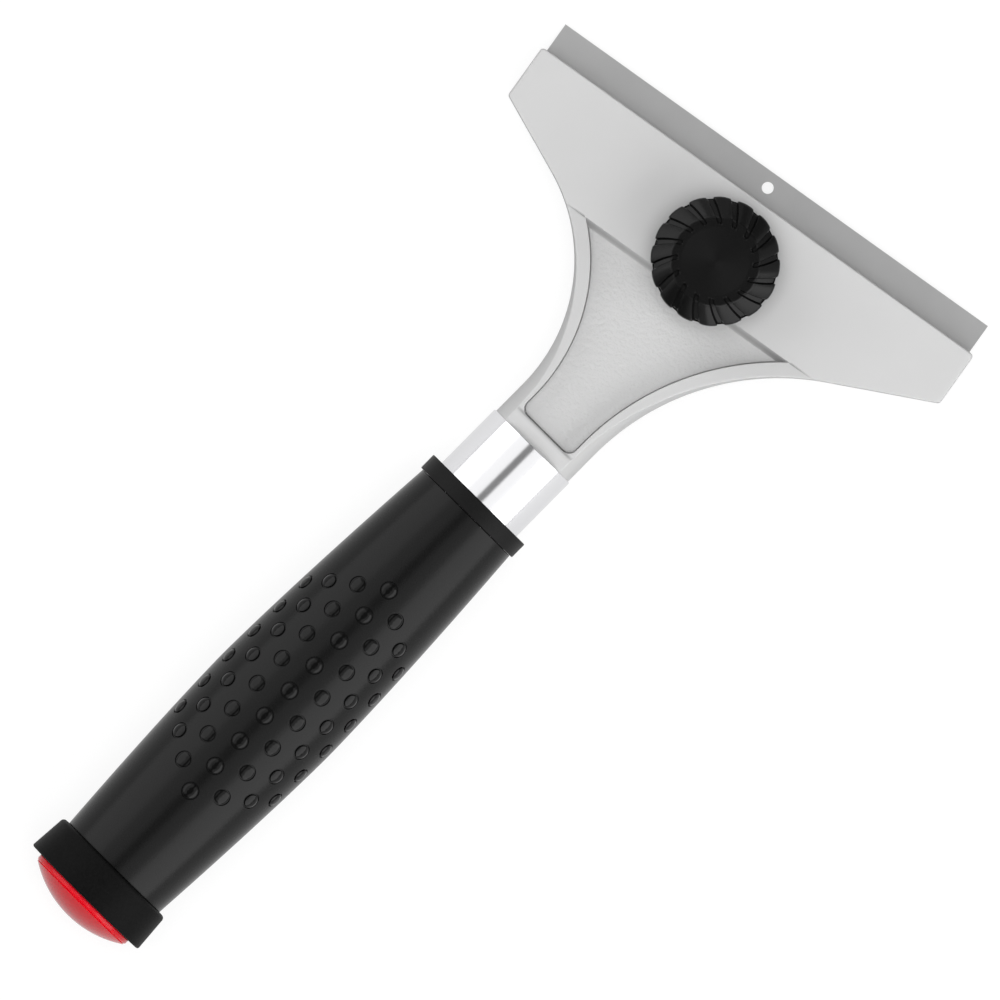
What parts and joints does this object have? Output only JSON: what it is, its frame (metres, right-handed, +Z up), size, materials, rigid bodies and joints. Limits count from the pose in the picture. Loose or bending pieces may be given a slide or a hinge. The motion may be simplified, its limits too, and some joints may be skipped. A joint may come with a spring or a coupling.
{
  "type": "grout scraper",
  "caption": "Hand scraper: a flat replaceable blade clamped in a cast silver head by a fluted knob, on a skewed chromed shank with a studded rubber grip and a red end cap.",
  "frame": {"origin": "on the clamp bolt's axis, in the plane on which the scraper lies", "axes": "+X along the blade, +Y from the handle to the cutting edge, +Z up through the clamp knob"},
  "size_m": [0.1022, 0.1955, 0.029],
  "materials": {
    "silver_casting": "satin silver",
    "ground_steel": "ground, satin",
    "plated_steel": "zinc plated",
    "chrome": "polished",
    "brass": "turned",
    "black_plastic": "fine moulded texture",
    "black_rubber": "soft, satin",
    "red_plastic": "glossy"
  },
  "bodies": {
    "head": {"head_casting": "silver_casting", "knob_washer": "plated_steel", "shank_tube": "chrome", "shank_pin": "plated_steel", "front_collar": "black_plastic", "grip_sleeve": "black_rubber", "end_ring": "black_plastic", "end_cap": "red_plastic"},
    "knob": {"knob": "black_plastic", "knob_insert": "brass"},
    "clamp": {"clamp_plate": "silver_casting", "clamp_bolt": "plated_steel"},
    "blade": {"blade": "ground_steel"}
  },
  "joints": [
    {"name": "knob_turn", "type": "hinge", "parent": "head", "child": "knob", "pos_m": [0, 0, 0.0128], "axis": [0, 0, 1], "range_deg": [0, 1080]},
    {"name": "clamp_open", "type": "slide", "parent": "head", "child": "clamp", "axis": [0, 0, -1], "range_m": [0, 0.003]},
    {"name": "blade_slide", "type": "slide", "parent": "clamp", "child": "blade", "axis": [0, 1, 0], "range_m": [0, 0.0098]}
  ],
  "couplings": [
    {"joint": "knob_turn", "follows": "clamp_open", "rad_per_m": 6283.2}
  ]
}
